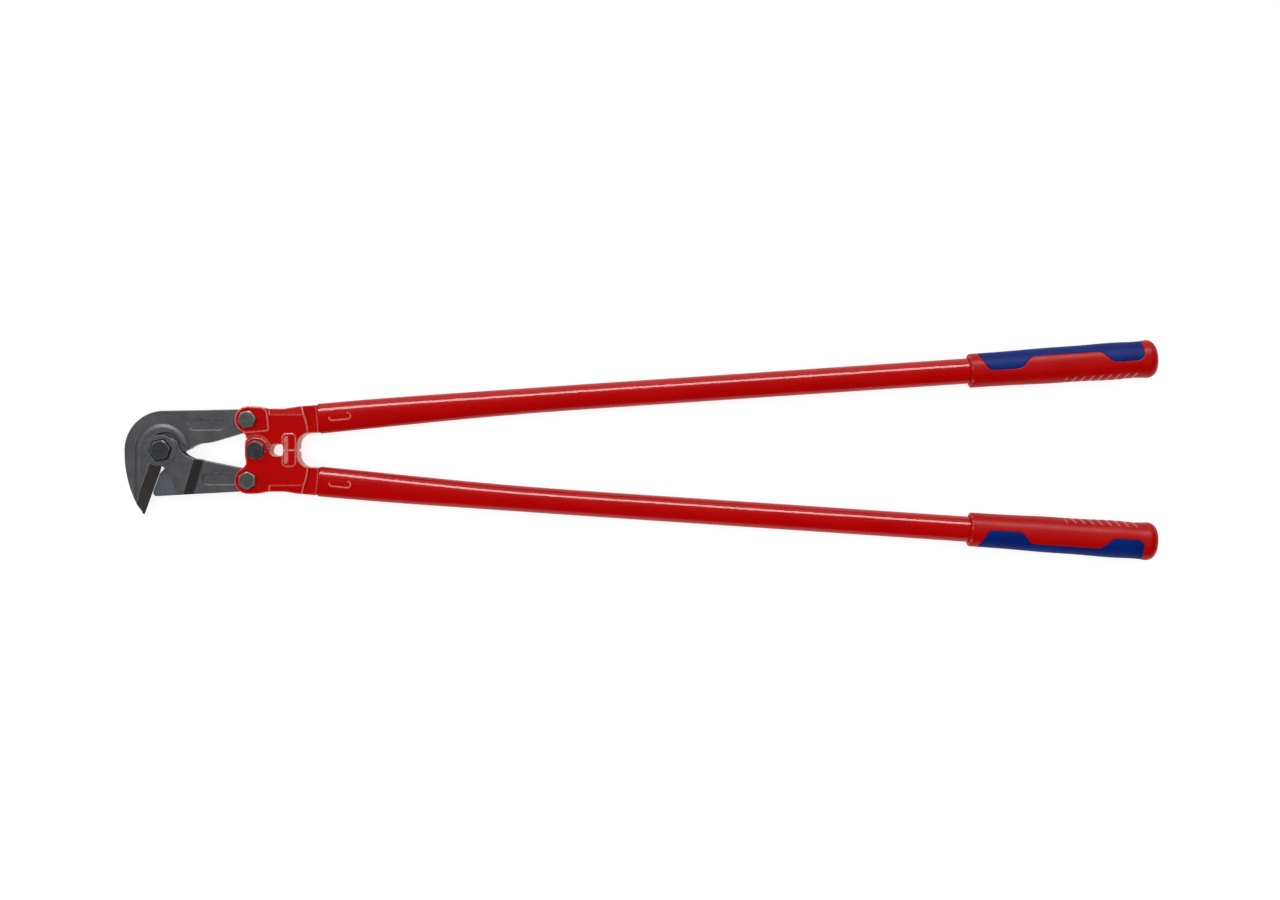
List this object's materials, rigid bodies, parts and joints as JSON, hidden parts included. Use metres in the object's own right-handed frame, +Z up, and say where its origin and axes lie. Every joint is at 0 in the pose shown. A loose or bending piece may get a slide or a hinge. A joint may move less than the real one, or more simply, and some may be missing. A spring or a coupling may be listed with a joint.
{
  "type": "rebar cutter",
  "caption": "Long-handled compound-lever cutter for reinforcing mesh and bar, with a hooked jaw, a straight jaw, tubular handles and two-colour grips.",
  "frame": {"origin": "middle of the surface that the closed tool lies on, at the centre of its bounding box", "axes": "+X from the cutting head to the grips, +Y from the lower handle to the upper handle, +Z up, away from the surface"},
  "size_m": [0.95, 0.203, 0.035],
  "materials": {
    "blade_steel": "forged, phosphated, satin",
    "bolt_steel": "blackened steel, satin",
    "black_bolt": "black oxide",
    "bush_steel": "ground",
    "red_forging": "gloss powder coat over a forging",
    "red_tube": "gloss powder coat",
    "red_plastic": "satin moulded plastic",
    "blue_soft": "matt soft plastic",
    "black_plastic": "moulded"
  },
  "bodies": {
    "lower_handle": {"lower_link_bolt": "bolt_steel", "lower_link_washer": "bolt_steel", "lower_link_nut": "bolt_steel", "lower_fork": "red_forging", "lower_tube": "red_tube", "lower_grip_shell": "red_plastic", "lower_grip_inlay": "blue_soft", "lower_tube_plug": "black_plastic", "handle_pivot_bolt": "black_bolt", "handle_pivot_bush": "bush_steel", "handle_pivot_washer": "bolt_steel", "handle_pivot_nut": "bolt_steel"},
    "upper_handle": {"upper_link_bolt": "bolt_steel", "upper_link_washer": "bolt_steel", "upper_link_nut": "bolt_steel", "upper_fork": "red_forging", "upper_tube": "red_tube", "upper_grip_shell": "red_plastic", "upper_grip_inlay": "blue_soft", "upper_tube_plug": "black_plastic"},
    "counter_jaw": {"counter_blade": "blade_steel", "blade_pivot_bolt": "bolt_steel", "blade_pivot_washer": "bolt_steel", "blade_pivot_nut": "bolt_steel"},
    "hook_jaw": {"hook_blade": "blade_steel", "blade_pivot_bush": "bush_steel"}
  },
  "joints": [
    {"name": "handle_opening", "type": "hinge", "parent": "lower_handle", "child": "upper_handle", "pos_m": [-0.353, 0, 0.0175], "axis": [0, 0, 1], "range_deg": [0, 70]},
    {"name": "counter_jaw_swing", "type": "hinge", "parent": "lower_handle", "child": "counter_jaw", "pos_m": [-0.3603, -0.0279, 0.0175], "axis": [0, 0, 1], "range_deg": [0, 41.5]},
    {"name": "jaw_opening", "type": "hinge", "parent": "counter_jaw", "child": "hook_jaw", "pos_m": [-0.441, 0, 0.0175], "axis": [0, 0, 1], "range_deg": [-12.5, 0]}
  ],
  "couplings": [
    {"joint": "counter_jaw_swing", "follows": "handle_opening", "ratio": 0.5845},
    {"joint": "jaw_opening", "follows": "handle_opening", "ratio": -0.169}
  ]
}
